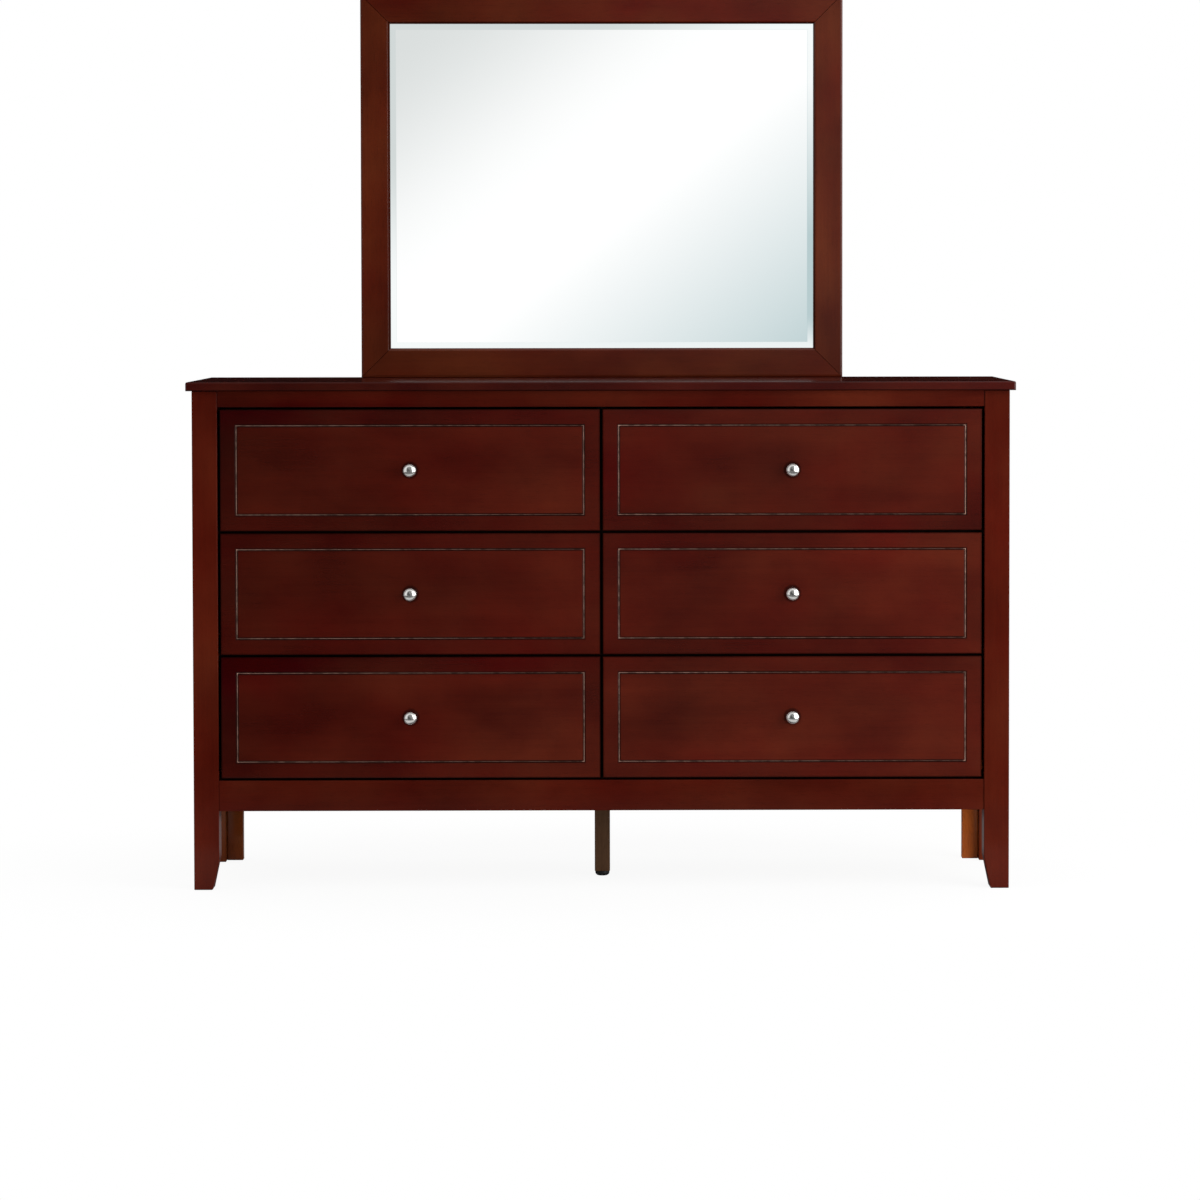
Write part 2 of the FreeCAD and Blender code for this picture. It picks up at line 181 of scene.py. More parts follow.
def post(name, low, high, outer, foot_width, taper_height, radius, tone, turn):
    """Square post with a tapered foot: a rectangle with round corners carried up Z, whose
    inner side stands at the foot's width at the floor and reaches the full width at the
    taper's height; outer is the side of X that stays straight. Both its ends carry a little painted shade."""
    end_painted_shade = 0.7
    inset, along, end_mark = end_rounding(radius, high.z - low.z)
    crease = taper_height + np.array([-2.0, -0.5, 0.5, 2.0]) * mm
    half_way = len(along) // 2
    along = np.insert(along, half_way, crease)
    inset = np.insert(inset, half_way, np.zeros(4))
    end_mark = np.insert(end_mark, half_way, np.zeros(4))
    width = foot_width + (high.x - low.x - foot_width) * np.clip(along / taper_height, 0, 1)
    straight = high.x if outer > 0 else low.x
    middle = joined(straight - outer * width / 2, (low.y + high.y) / 2)
    half = joined(width / 2, (high.y - low.y) / 2)
    flat, mark = round_cornered(middle, half, radius, inset)
    rings = joined(flat[..., 0], flat[..., 1], (low.z + along)[:, None])
    painted_shade = end_painted_shade * (inset > barely)
    marks = {"arris": np.maximum(mark[None, :], end_mark[:, None]), "board": turn,
             "tone": spread_tone(tone, rings, low, high), "painted_shade": painted_shade[:, None]}
    return skin(name, rings, marks)


def rectangle_rings(low, high, inset, depth):
    """Rectangles in planes of one Y, one for each step of a profile: each is the outline from
    low to high drawn in by inset, at low.y plus depth."""
    xs = joined(low.x + inset, high.x - inset, high.x - inset, low.x + inset)
    zs = joined(low.z + inset, low.z + inset, high.z - inset, high.z - inset)
    return joined(xs, (low.y + depth)[:, None], zs)


def with_side_points(rings, step):
    """Rectangular rings with two more points on each side, a step in from its corners: corner,
    plus and minus the step along the unit vector of the side."""
    onward = np.roll(rings, -1, axis=1) - rings
    unit = onward / np.linalg.norm(onward, axis=2, keepdims=True)
    sides_of_three = np.stack([rings, rings + step * unit, rings + onward - step * unit], axis=2)
    return sides_of_three.reshape(len(rings), 12, 3)


def drawer_front(name, low, high, tone, border_painted_shade, turn):
    """Drawer front as a profile drawn in from its edge: up the wall, over a quarter circle of
    the arris, across the border, over a round lip into the groove, round its floor and out
    over the same lip to the field, then to twelve-sided rings about the knob's middle. The lip
    of radius r turns down by the slope's angle: r sin(t) across and r (1 - cos(t)) down.
    Painted shade darkens the edges beside the gaps and the groove, and a painted shadow darkens
    the wood close to the knob. A painted highlight lights the groove's floor: full at the corners,
    a little less on the upright sides, weaker on the level sides and least at their right ends."""
    thick, arris, lip = high.y - low.y, 1.0 * mm, 1.0 * mm
    wall, border, calm, near_corner = 0.5 * mm, 3.4 * mm, 2.2 * mm, 5.0 * mm
    groove, slope_run, floor_edge, centre = 2.5 * mm, 1.4 * mm, 28.4 * mm, 29.0 * mm
    edge_steps, lip_steps, floor_steps, field_steps = 10, 9, 5, 4
    over = quarter_steps()
    slope = math.atan2(groove, slope_run)
    bend = np.linspace(0.0, slope, lip_steps)
    lip_out = lip * np.sin(bend)
    lip_down = lip * (1 - np.cos(bend))
    start = floor_edge - lip_out[-1] - (groove - lip_down[-1]) / math.tan(slope)
    floor_inset = np.linspace(floor_edge, 2 * centre - floor_edge, floor_steps)
    floor_down = groove + np.array([0.0, 0.2, 0.25, 0.2, 0.0]) * mm
    inset = np.concatenate([[wall, 0.0, 0.0], arris * (1 - np.cos(over)), [border, start - calm],
                            start + lip_out, floor_inset, 2 * centre - (start + lip_out)[::-1],
                            [2 * centre - start + calm]])
    depth = np.concatenate([[thick, thick - wall, 2 * arris], arris * (1 - np.sin(over)), [0.0, 0.0],
                            lip_down, floor_down, lip_down[::-1], [0.0]])
    past_edge = 2 + 2 * lip_steps + floor_steps + field_steps
    mark = np.concatenate([[0.0, 0.3, 0.3], np.sin(2 * over), np.zeros(past_edge)])
    # painted shade on the wall and arris beside the gaps, fading out towards the border
    edge_painted_shade = [0.0, 0.3, 0.95, 0.95, 0.9, 0.8, 0.65, 0.5, 0.0, 0.0]
    into = np.clip(np.linspace(0.2, 1.6, lip_steps), 0, 1)
    # painted shadow round the knob: the rings close to its foot are darker
    knob_rings, knob_painted_shade = np.array([17.5, 14.0, 9.0]) * mm, [0.0, 0.8, 0.8]
    painted_shade = np.concatenate([edge_painted_shade, into, np.ones(floor_steps), into[::-1], [0.0], knob_painted_shade])
    # painted highlight on the groove's floor
    painted_highlight = np.concatenate([np.zeros(edge_steps + lip_steps), [0.15, 1.0, 1.0, 1.0, 0.15],
                             np.zeros(lip_steps + field_steps)])
    # strength of the painted highlight at each of the twelve points of a ring
    corner, upright, left_end, right_end = 1.0, 0.85, 0.5, 0.15
    spread = np.array([corner, left_end, right_end, corner, upright, upright,
                       corner, right_end, left_end, corner, upright, upright])
    painted_floor_reflection = np.linspace(1.0, 0.0, 2 * lip_steps + floor_steps)
    shaded = np.concatenate([np.ones(edge_steps), painted_floor_reflection, np.zeros(field_steps)])
    angle = np.radians(225 + 30 * np.arange(12))
    out = knob_rings[:, None]
    round_knob = joined((low.x + high.x) / 2 + out * np.cos(angle), low.y,
                        (low.z + high.z) / 2 + out * np.sin(angle))
    outlines = with_side_points(rectangle_rings(low, high, inset, depth), near_corner)
    rings = np.concatenate([outlines, round_knob])
    # painted shade: the border between the edge and the groove is darker, fading out across the groove into
    # the field
    tones = spread_tone(tone, rings, low, high) - border_painted_shade * shaded[:, None]
    marks = {"arris": mark[:, None], "tone": tones, "board": turn, "painted_shade": painted_shade[:, None],
             "painted_highlight": painted_highlight[:, None] * spread[None]}
    return skin(name, rings, marks, sharp_from=50.0)


def table_top(name, low, high, notches, radius, tone, turn):
    """Top board: its outline, with a square notch in the back edge for each support, is drawn
    in by a profile that rounds the upper arris at the front and sides. Each point of the
    outline moves in by the inset times its own pull, a direction across the front or side
    edges; the back edge stays. The edge underneath carries painted shade, and the arris shines more
    towards the right."""
    under, painted_shade_up_to, dulled = 0.8 * mm, 2.4 * mm, 0.9
    (a, b, deep), (c, d, _) = notches
    back = high.y
    square = np.array([[high.x, back], [d, back], [d, deep], [c, deep], [c, back],
                       [b, back], [b, deep], [a, deep], [a, back], [low.x, back]])
    pull = np.zeros_like(square)
    pull[0, 0], pull[-1, 0] = -1, 1
    corner = quarter_steps()
    left_pull = joined(np.cos(corner), np.sin(corner))
    right_pull = joined(-np.sin(corner), np.cos(corner))
    left = np.array([low.x, low.y]) + radius * (1 - left_pull)
    right = np.array([high.x, low.y]) - radius * (np.array([1, -1]) + right_pull)
    outline = np.concatenate([square, left, right])
    pulls = np.concatenate([pull, left_pull, right_pull])
    over = quarter_steps(5)
    inset = np.concatenate([under * (1 - np.sin(over)), [0.0], radius * (1 - np.cos(over))])
    height = np.concatenate([under * (1 - np.cos(over)), [painted_shade_up_to],
                             high.z - low.z - radius * (1 - np.sin(over))])
    mark = np.concatenate([np.zeros(len(over) + 1), np.sin(2 * over)])
    # painted shade on the underside's rounding, fading out a little way up the front edge
    painted_shade = np.concatenate([np.ones(len(over)), np.zeros(len(over) + 1)])
    spread = outline[None] + pulls[None] * inset[:, None, None]
    rings = joined(spread[..., 0], spread[..., 1], (low.z + height)[:, None])
    shown = np.abs(pulls).sum(axis=1) > 0
    duller = 1.0 - dulled * (rings[..., 0] - low.x) / (high.x - low.x)
    marks = {"arris": mark[:, None] * shown[None] * duller, "board": turn,
             "tone": spread_tone(tone, rings, low, high), "painted_shade": painted_shade[:, None]}
    return skin(name, rings, marks, sharp_from=40.0)


def mirror_member(name, length, to_place, tone, turn):
    """Mitred member of the mirror frame. Its cross-section, with a rounded outer arris, a
    bevel towards the glass and a rabbet behind, is carried between two mitres: a point at
    height z of the section starts z inside the end of the length. Near the face the end
    draws in a little more, so that the mitre shows as a fine line. to_place turns the
    member to its side of the frame. A known fault: the rounding's points run from the outer
    wall to the face, so the section crosses itself once, just behind the arris."""
    width, thick, lip, rabbet = 55 * mm, 22 * mm, 8 * mm, 46 * mm
    outer, bevel, soft = 3 * mm, 4 * mm, 0.8 * mm
    flat_start, flat_end, face_depth = width - bevel - 2 * mm, 5 * mm, 2 * mm
    mitre_gap, inner_opening, face_opening, opening_depth = 0.02 * mm, 0.03 * mm, 0.65 * mm, 1.0 * mm
    over = quarter_steps(5)
    rounded = outer * (1 - joined(np.sin(over), np.cos(over)))
    back = np.array([[thick, 0.0], [thick, rabbet], [lip, rabbet], [lip, width]])
    slope = np.array([[bevel + soft * 0.4, width], [bevel, width - soft * 0.25],
                      [bevel * 0.5, width - bevel * 0.5],
                      [soft * 0.3, width - bevel + soft * 0.05], [0.0, width - bevel - soft * 0.5]])
    flat = np.array([[0.0, flat_start], [0.0, flat_end]])
    section = np.concatenate([rounded, back, slope, flat])
    mark = np.concatenate([np.sin(2 * over), np.zeros(4), [0.4, 0.9, 0.2, 0.9, 0.3], [0, 0]])
    near_face = np.clip(1 - section[:, 0] / face_depth, 0, 1)
    ends = []
    for sign in (-1, 1):
        for opening, sunk in ((inner_opening, opening_depth), (face_opening, 0.0)):
            x = sign * (length / 2 - section[:, 1] - mitre_gap - opening * near_face)
            ends.append(joined(x, section[:, 0] + sunk * near_face, section[:, 1]))
    rings = np.stack([ends[0], ends[1], ends[3], ends[2]])
    # painted shade on the mitre faces, so that the fine line of the joint reads dark
    painted_shade = np.array([1.0, 0.0, 0.0, 1.0])
    places = (joined(rings[..., 0], rings[..., 1], rings[..., 2], 1.0) @ np.array(to_place).T)[..., :3]
    tones = spread_tone(tone, places, places.min(axis=(0, 1)), places.max(axis=(0, 1)))
    marks = {"arris": mark[None], "tone": tones, "board": turn, "painted_shade": painted_shade[:, None]}
    return skin(name, places, marks, sharp_from=40.0)


def bevelled_glass(name, low, high, bevel_width, bevel_depth):
    """Mirror glass: rectangles drawn in from the back edge, up the edge wall and over the
    wide shallow bevel to the flat middle. Three rings ease the bevel's inner arris."""
    thick, eased, soft = high.y - low.y, 0.3 * mm, 0.5 * mm
    inset = np.array([eased, 0.0, 0.0, eased, bevel_width - soft, bevel_width, bevel_width + soft])
    depth = np.array([thick, thick - eased, bevel_depth + eased, bevel_depth, 0.05 * mm, 0.01 * mm, 0.0])
    bevel = np.array([1.0, 1.0, 1.0, 1.0, 1.0, 0.5, 0.0])
    return skin(name, rectangle_rings(low, high, inset, depth), {"bevel": bevel[:, None]}, sharp_from=3.0)


def turned(name, centre, profile, arrow, around=64):
    """Turned piece: a profile of (distance from the axis, distance along it) carried once
    round the axis. The mark turning is the length walked along the profile."""
    angle = np.arange(around) * 2 * math.pi / around
    radius, along = profile[:, 0], profile[:, 1]
    arrow = np.array(arrow, float)
    first = np.array([1.0, 0.0, 0.0])
    second = np.cross(arrow, first)
    spoke = np.cos(angle)[:, None] * first + np.sin(angle)[:, None] * second
    rings = np.array(centre) + radius[:, None, None] * spoke[None] + along[:, None, None] * arrow
    walked = np.concatenate([[0.0], np.cumsum(np.hypot(*np.diff(profile, axis=0).T))])
    return skin(name, rings, {"turning": walked[:, None], "arris": 0.0}, sharp_from=35.0)


def arc(centre, radius, start, stop, steps):
    """Points of a circle's arc in the plane of a profile, angles in degrees."""
    angle = np.radians(np.linspace(start, stop, steps))
    return joined(centre[0] + radius * np.cos(angle), centre[1] + radius * np.sin(angle))


def knob_profile():
    """Profile of the mushroom knob: a flat foot, a concave flare into the neck, a cone out to
    the thin rim, a rolled edge and a shallow dome with a fine turned line inside the rim."""
    widest, reach, crown, foot, neck = 11.5, 25.0, 5.0, 8.0, 5.0
    roll, soft, foot_top, cone_start, cone_end = 1.0, 0.4, 1.8, 14.1, 17.9
    ease, cone_inset, dome_inset = 0.2, 0.6, 1.2
    line_at, line_depth, line_width = 9.6, 0.25, 0.25
    flare = arc((foot, neck), foot - neck, 270, 180, 9)
    under = np.array([[neck, cone_start - ease], [neck + cone_inset, cone_start],
                      [widest - cone_inset, cone_end]])
    rim = arc((widest - roll, reach - crown - roll), roll, -50, 60, 9)
    sphere = (widest ** 2 + crown ** 2) / (2 * crown)
    out = np.linspace(widest - dome_inset, 0.0, 32)
    line = line_depth * np.exp(-((out - line_at) / line_width) ** 2)
    dome = reach - sphere + np.sqrt(sphere ** 2 - out ** 2) - line
    base = np.concatenate([[[0.0, 0.0], [foot - soft, 0.0]], arc((foot - soft, soft), soft, -90, 0, 4)])
    return np.concatenate([base, [[foot, foot_top]], flare, under, rim, joined(out, dome)]) * mm


def screw_head_profile():
    """Low pan head with a rounded top, seen inside the drawer."""
    radius, side, bend, bend_middle = 4.0, 1.4, 0.8, 1.5
    crown, crown_base, crown_edge = 0.4, 2.1, 3.4
    out = np.linspace(crown_edge, 0.0, 9)
    top = crown_base + crown * np.sqrt(1 - (out / radius) ** 2)
    wall = [[0.0, 0.0], [radius, 0.0], [radius, side]]
    return np.concatenate([wall, arc((radius - bend, bend_middle), bend, 10, 70, 5), joined(out, top)]) * mm


def glide_profile():
    """Glide under the centre leg, from its top face round the outside to the floor."""
    radius, height, bend, eased = 13.0, 9.0, 6.0, 0.4
    top = [[0.0, height], [radius - eased, height], [radius, height - eased]]
    return np.concatenate([top, arc((radius - bend, bend), bend, 0, -90, 12), [[0.0, 0.0]]]) * mm


# Materials

def place(tree, kind, inputs=None, **settings):
    """Adds a node; inputs maps a socket's name or number to a value or to another's output."""
    made = tree.nodes.new(kind)
    for key, value in settings.items():
        setattr(made, key, value)
    for key, value in (inputs or {}).items():
        socket = made.inputs[key]
        if isinstance(value, bpy.types.NodeSocket):
            tree.links.new(value, socket)
        else:
            socket.default_value = value
    return made


def reckon(tree, operation, *values, clamp=False):
    """Math node on up to three values."""
    made = place(tree, "ShaderNodeMath", dict(enumerate(values)), operation=operation, use_clamp=clamp)
    return made.outputs[0]


def times(tree, first, second):
    """Product of two numbers."""
    return reckon(tree, "MULTIPLY", first, second)


def added_up(tree, start, shares):
    """A start number plus each value times its share, held between 0 and 1."""
    for value, share in shares:
        start = reckon(tree, "MULTIPLY_ADD", value, share, start)
    return reckon(tree, "ADD", start, 0.0, clamp=True)


def about_nought(tree, value):
    """A number from 0 to 1 moved to lie about 0."""
    return reckon(tree, "SUBTRACT", value, 0.5)


def on_vectors(tree, operation, *vectors, scale=1.0):
    """Vector math node on up to three vectors or on one and a scale."""
    inputs = {**dict(enumerate(vectors)), 3: scale}
    return place(tree, "ShaderNodeVectorMath", inputs, operation=operation).outputs[0]


def eased_range(tree, value, start, end, low=0.0, high=1.0):
    """Value carried from start..end to low..high, eased at both ends and held outside."""
    return place(tree, "ShaderNodeMapRange", {0: value, 1: start, 2: end, 3: low, 4: high},
                 interpolation_type="SMOOTHSTEP", clamp=True).outputs[0]


def mixed(tree, share, first, second):
    """Two colours mixed by a share."""
    return place(tree, "ShaderNodeMix", {0: share, 6: first, 7: second}, data_type="RGBA").outputs[2]


def stored_mark(tree, mark):
    """What the vertices hold under a mark's name."""
    return place(tree, "ShaderNodeAttribute", attribute_name=mark).outputs["Fac"]


def object_places(tree):
    """Places in the piece's own frame."""
    return place(tree, "ShaderNodeTexCoord").outputs["Object"]


def relief(tree, height, distance, strength=1.0):
    """Normal of a fine relief."""
    made = place(tree, "ShaderNodeBump", {"Strength": strength, "Distance": distance, "Height": height})
    return made.outputs[0]


def shade_with(tree, inputs):
    """Shader with these inputs, linked to the material's output."""
    shader = place(tree, "ShaderNodeBsdfPrincipled", inputs)
    place(tree, "ShaderNodeOutputMaterial", {"Surface": shader.outputs[0]})
    return shader


def new_material(name):
    """Material with an empty node tree."""
    made = bpy.data.materials.new(name)
    made.use_nodes = True
    made.node_tree.nodes.clear()
    return made, made.node_tree


def new_group(name, gives, numbers=(), colours=(), gives_colours=()):
    """Empty node group that takes places and the named numbers and colours, and gives others."""
    tree = bpy.data.node_groups.new(name, "ShaderNodeTree")
    tree.interface.new_socket("Places", in_out="INPUT", socket_type="NodeSocketVector")
    for way, kind, labels in (("INPUT", "Float", numbers), ("INPUT", "Color", colours),
                              ("OUTPUT", "Float", gives), ("OUTPUT", "Color", gives_colours)):
        for label in labels:
            tree.interface.new_socket(label, in_out=way, socket_type="NodeSocket" + kind)
    return tree, tree.nodes.new("NodeGroupInput").outputs, tree.nodes.new("NodeGroupOutput").inputs


def use_group(tree, group, inputs):
    """Outputs of a node group that is given these inputs."""
    return place(tree, "ShaderNodeGroup", inputs, node_tree=group).outputs


def stretched_noise(tree, where, stretch, detail=2.0, rough=0.5, swirl=0.0):
    """Noise on places stretched by three numbers, from 0 to 1."""
    spread = on_vectors(tree, "MULTIPLY", where, stretch)
    return place(tree, "ShaderNodeTexNoise", {"Vector": spread, "Scale": 1.0, "Detail": detail,
                                              "Roughness": rough, "Distortion": swirl}).outputs[0]


def build_wood_grain():
    """Grain along X of the given places: slow figure, fine streaks, short pores, clouds of
    lighter and darker stain, and clouds of warmer and colder stain. Each board's own number
    moves it to another part of the noise."""
    board_shift, warmth_shift = (7.3, 3.1, 5.7), (4.1, 9.7, 2.9)
    tree, takes, gives = new_group("Wood grain", ("Figure", "Streaks", "Pores", "Clouds", "Warmth"))
    shift = on_vectors(tree, "SCALE", board_shift, scale=stored_mark(tree, "board"))
    apart = on_vectors(tree, "ADD", takes["Places"], shift)
    elsewhere = on_vectors(tree, "ADD", apart, warmth_shift)
    for label, where, stretch, detail, rough, swirl in (
            ("Figure", apart, (0.9, 11.0, 11.0), 3.0, 0.5, 0.7),
            ("Streaks", apart, (6.0, 240.0, 240.0), 4.0, 0.6, 0.0),
            ("Clouds", apart, (5.0, 8.0, 8.0), 3.0, 0.5, 0.0),
            ("Warmth", elsewhere, (4.0, 6.0, 6.0), 3.0, 0.55, 0.0)):
        tree.links.new(stretched_noise(tree, where, stretch, detail, rough, swirl), gives[label])
    pores = stretched_noise(tree, apart, (60.0, 1300.0, 1300.0), detail=1.0)
    tree.links.new(eased_range(tree, pores, 0.6, 0.74), gives["Pores"])
    return tree


def build_rubbed_arris():
    """Mask of the rubbed arrises: the mark arris, broken up by noise."""
    tree, takes, gives = new_group("Rubbed arris", ("Mask",), numbers=("Amount",))
    patches = stretched_noise(tree, takes["Places"], (38.0, 38.0, 38.0), detail=3.0, rough=0.6)
    broken = times(tree, stored_mark(tree, "arris"), eased_range(tree, patches, 0.3, 0.75, 0.25, 1.0))
    tree.links.new(reckon(tree, "MULTIPLY", broken, takes["Amount"], clamp=True), gives["Mask"])
    return tree


def build_fine_dust():
    """Dust specks, stronger on faces that look up, and long hairlines of wiping."""
    tree, takes, gives = new_group("Fine dust", ("Dust", "Hairlines"))
    specks = stretched_noise(tree, takes["Places"], (900.0, 900.0, 900.0), detail=1.0)
    drift = stretched_noise(tree, takes["Places"], (6.0, 6.0, 6.0), detail=3.0)
    normal = place(tree, "ShaderNodeNewGeometry").outputs["Normal"]
    facing = place(tree, "ShaderNodeSeparateXYZ", {0: normal}).outputs[2]
    amount = times(tree, eased_range(tree, specks, 0.6, 0.72), eased_range(tree, drift, 0.35, 0.75))
    tree.links.new(times(tree, amount, eased_range(tree, facing, 0.2, 1.0, 0.15, 1.0)), gives["Dust"])
    wiped = stretched_noise(tree, takes["Places"], (14.0, 700.0, 700.0), detail=2.0)
    tree.links.new(eased_range(tree, wiped, 0.58, 0.72), gives["Hairlines"])
    return tree


def build_stained_wood(grain, rubbed, dust):
    """Colour, roughness, gloss and height of stained wood, from its grain and its wear. A tone
    of t makes it lighter by t, and more so in green and blue; warmth changes green most.
    Near black is mixed in as painted shade where the vertices are marked for shade, which also
    takes the gloss away there, and a pale colour as a painted highlight where they are marked for it."""
    tone_reach, warmth_reach = (1.0, 1.5, 1.2), (0.25, 2.0, 1.6)
    pore_colour, painted_shade_colour = (0.004, 0.0015, 0.001, 1.0), (0.004, 0.0012, 0.001, 1.0)
    painted_highlight_colour, dust_colour = (0.50, 0.30, 0.235, 1.0), (0.35, 0.32, 0.3, 1.0)
    painted_shade_share, dust_share = 0.85, 0.10
    tree, takes, gives = new_group("Stained wood", ("Roughness", "Gloss", "Height"),
                                   share_labels + ("Base roughness",), ("Dark", "Light", "Rubbed"),
                                   ("Color",))
    spot = takes["Places"]
    parts = use_group(tree, grain, {"Places": spot})
    worn = use_group(tree, rubbed, {"Places": spot, "Amount": takes["Wear"]})["Mask"]
    dusty = use_group(tree, dust, {"Places": spot})
    arris, painted_shade, painted_highlight, tone = (stored_mark(tree, mark) for mark in ("arris", "painted_shade", "painted_highlight", "tone"))
    streaks = about_nought(tree, parts["Streaks"])

    share = added_up(tree, 0.5, [(about_nought(tree, parts["Figure"]), takes["Figure share"]),
                                 (streaks, takes["Streak share"]),
                                 (about_nought(tree, parts["Clouds"]), takes["Cloud share"])])
    stain = mixed(tree, share, takes["Dark"], takes["Light"])
    warm = times(tree, about_nought(tree, parts["Warmth"]), takes["Warmth share"])
    shift = on_vectors(tree, "ADD", on_vectors(tree, "SCALE", tone_reach, scale=tone),
                       on_vectors(tree, "SCALE", warmth_reach, scale=warm))
    colour = on_vectors(tree, "MULTIPLY_ADD", stain, shift, stain)
    colour = mixed(tree, times(tree, parts["Pores"], takes["Pore share"]), colour, pore_colour)
    # painted shade: near black mixed in where the vertices are marked for shade, in gaps, grooves, joints
    # and round the knobs
    colour = mixed(tree, times(tree, painted_shade, painted_shade_share), colour, painted_shade_colour)
    # painted highlight: a pale colour on the groove's floor, broken up by noise
    highlight_breakup = eased_range(tree, stretched_noise(tree, spot, (90.0, 90.0, 90.0)), 0.35, 0.62, 0.5, 1.15)
    colour = mixed(tree, times(tree, painted_highlight, highlight_breakup), colour, painted_highlight_colour)
    colour = mixed(tree, worn, colour, takes["Rubbed"])
    colour = mixed(tree, times(tree, dusty["Dust"], dust_share), colour, dust_colour)
    tree.links.new(colour, gives["Color"])

    rough = added_up(tree, takes["Base roughness"], [(streaks, 0.12), (dusty["Hairlines"], 0.05),
                                                     (parts["Pores"], 0.2), (worn, 0.1)])
    tree.links.new(rough, gives["Roughness"])
    dull = added_up(tree, 0.0, [(parts["Pores"], 0.25), (dusty["Dust"], 0.3), (dusty["Hairlines"], 0.08),
                                (arris, 0.75), (painted_shade, 0.95)])
    tree.links.new(reckon(tree, "SUBTRACT", 1.0, dull), gives["Gloss"])
    height = reckon(tree, "MULTIPLY_ADD", parts["Pores"], -0.8, times(tree, parts["Streaks"], 0.4))
    tree.links.new(height, gives["Height"])
    return tree


share_labels = ("Figure share", "Streak share", "Cloud share", "Warmth share", "Pore share", "Wear")
stained_wood = build_stained_wood(build_wood_grain(), build_rubbed_arris(), build_fine_dust())
grain_turns = {"x": (0.0, 0.0, 0.0), "y": (0.0, 0.0, -math.pi / 2), "z": (0.0, math.pi / 2, 0.0)}


def wood(name, along, dark, light, rubbed, shares, roughness, sheen, coat, bump, coat_roughness=0.0):
    """Wood with its grain along one axis. shares are of figure, streaks, clouds, warmth, pores
    and wear; sheen is the wood's own specular level, coat the lacquer's weight."""
    made, tree = new_material(name)
    turn = grain_turns[along]
    spot = place(tree, "ShaderNodeMapping", {"Vector": object_places(tree), "Rotation": turn}).outputs[0]
    stain = use_group(tree, stained_wood, {
        "Places": spot, "Dark": dark + (1,), "Light": light + (1,), "Rubbed": rubbed + (1,),
        "Base roughness": roughness, **dict(zip(share_labels, shares))})
    shader = shade_with(tree, {
        "Base Color": stain["Color"], "Roughness": stain["Roughness"], "Specular IOR Level": sheen,
        "Coat IOR": 1.5, "Coat Roughness": coat_roughness, "Normal": relief(tree, stain["Height"], bump)})
    if coat > 0:
        tree.links.new(times(tree, stain["Gloss"], coat), shader.inputs["Coat Weight"])
    return made


def lacquered(name, along, coat=1.0, deepness=1.0, warmth=1.0, coat_roughness=0.07):
    """Glossy cherry-dark stain under clear lacquer. Warmth makes it less red."""
    change = (deepness, deepness * warmth, deepness)
    dark = tuple(channel * by for channel, by in zip((0.025, 0.0018, 0.0010), change))
    light = tuple(channel * by for channel, by in zip((0.077, 0.0086, 0.0034), change))
    rubbed, shares = (0.11, 0.024, 0.012), (0.5, 0.3, 1.3, 1.0, 0.3, 0.05)
    return wood(name, along, dark, light, rubbed, shares, roughness=0.42, sheen=0.0, coat=coat,
                bump=0.03 * mm, coat_roughness=coat_roughness)


def plain_wood(name, along, colours, bump=0.12 * mm, sheen=0.3):
    """Thinly finished wood of the inner pieces."""
    dark, light = colours
    rubbed = tuple(channel * 1.25 for channel in light)
    shares = (1.0, 0.8, 0.5, 0.1, 0.45, 0.3)
    return wood(name, along, dark, light, rubbed, shares, roughness=0.55, sheen=sheen, coat=0.0, bump=bump)


near_black = ((0.004, 0.0015, 0.001), (0.010, 0.004, 0.0025))
red_brown = ((0.07, 0.024, 0.010), (0.155, 0.06, 0.026))
honey = ((0.36, 0.205, 0.095), (0.55, 0.355, 0.19))
mid_brown = ((0.15, 0.072, 0.034), (0.235, 0.125, 0.064))
grey_brown = ((0.040, 0.0185, 0.0080), (0.118, 0.058, 0.0265))

finishes = {
    "case_x": lacquered("Lacquer, grain across", "x"),
    "case_y": lacquered("Lacquer, grain front to back", "y"),
    "case_z": lacquered("Lacquer, grain upright", "z"),
    "top": lacquered("Lacquer of the top", "x", coat=0.75, coat_roughness=0.15),
    "rail": lacquered("Thinner lacquer, grain across", "x", coat=0.3),
    "post": lacquered("Thinner lacquer, grain upright", "z", coat=0.2),
    "frame_x": lacquered("Mirror frame lacquer, grain across", "x", deepness=1.3, warmth=1.35),
    "frame_z": lacquered("Mirror frame lacquer, grain upright", "z", deepness=1.3, warmth=1.35),
    "back_leg": lacquered("Thin lacquer of the back legs", "z", coat=0.3, deepness=2.5, warmth=1.9),
    # near black as painted shade, so that the gaps between the drawers read as deep shade
    "gap_shade_rail": plain_wood("Near black rail for painted gap shade", "x", near_black, sheen=0.05),
    "inner_x": plain_wood("Inner rail wood, grain across", "x", red_brown),
    "inner_y": plain_wood("Inner rail wood, grain front to back", "y", red_brown),
    "inner_z": plain_wood("Support wood, grain upright", "z", red_brown),
    "drawer_x": plain_wood("Drawer wood, grain across", "x", honey),
    "drawer_y": plain_wood("Drawer wood, grain front to back", "y", honey),
    "thin_board": plain_wood("Thin board", "x", mid_brown, bump=0.03 * mm),
    "centre_leg": plain_wood("Centre leg stain", "z", grey_brown, sheen=0.1),
}


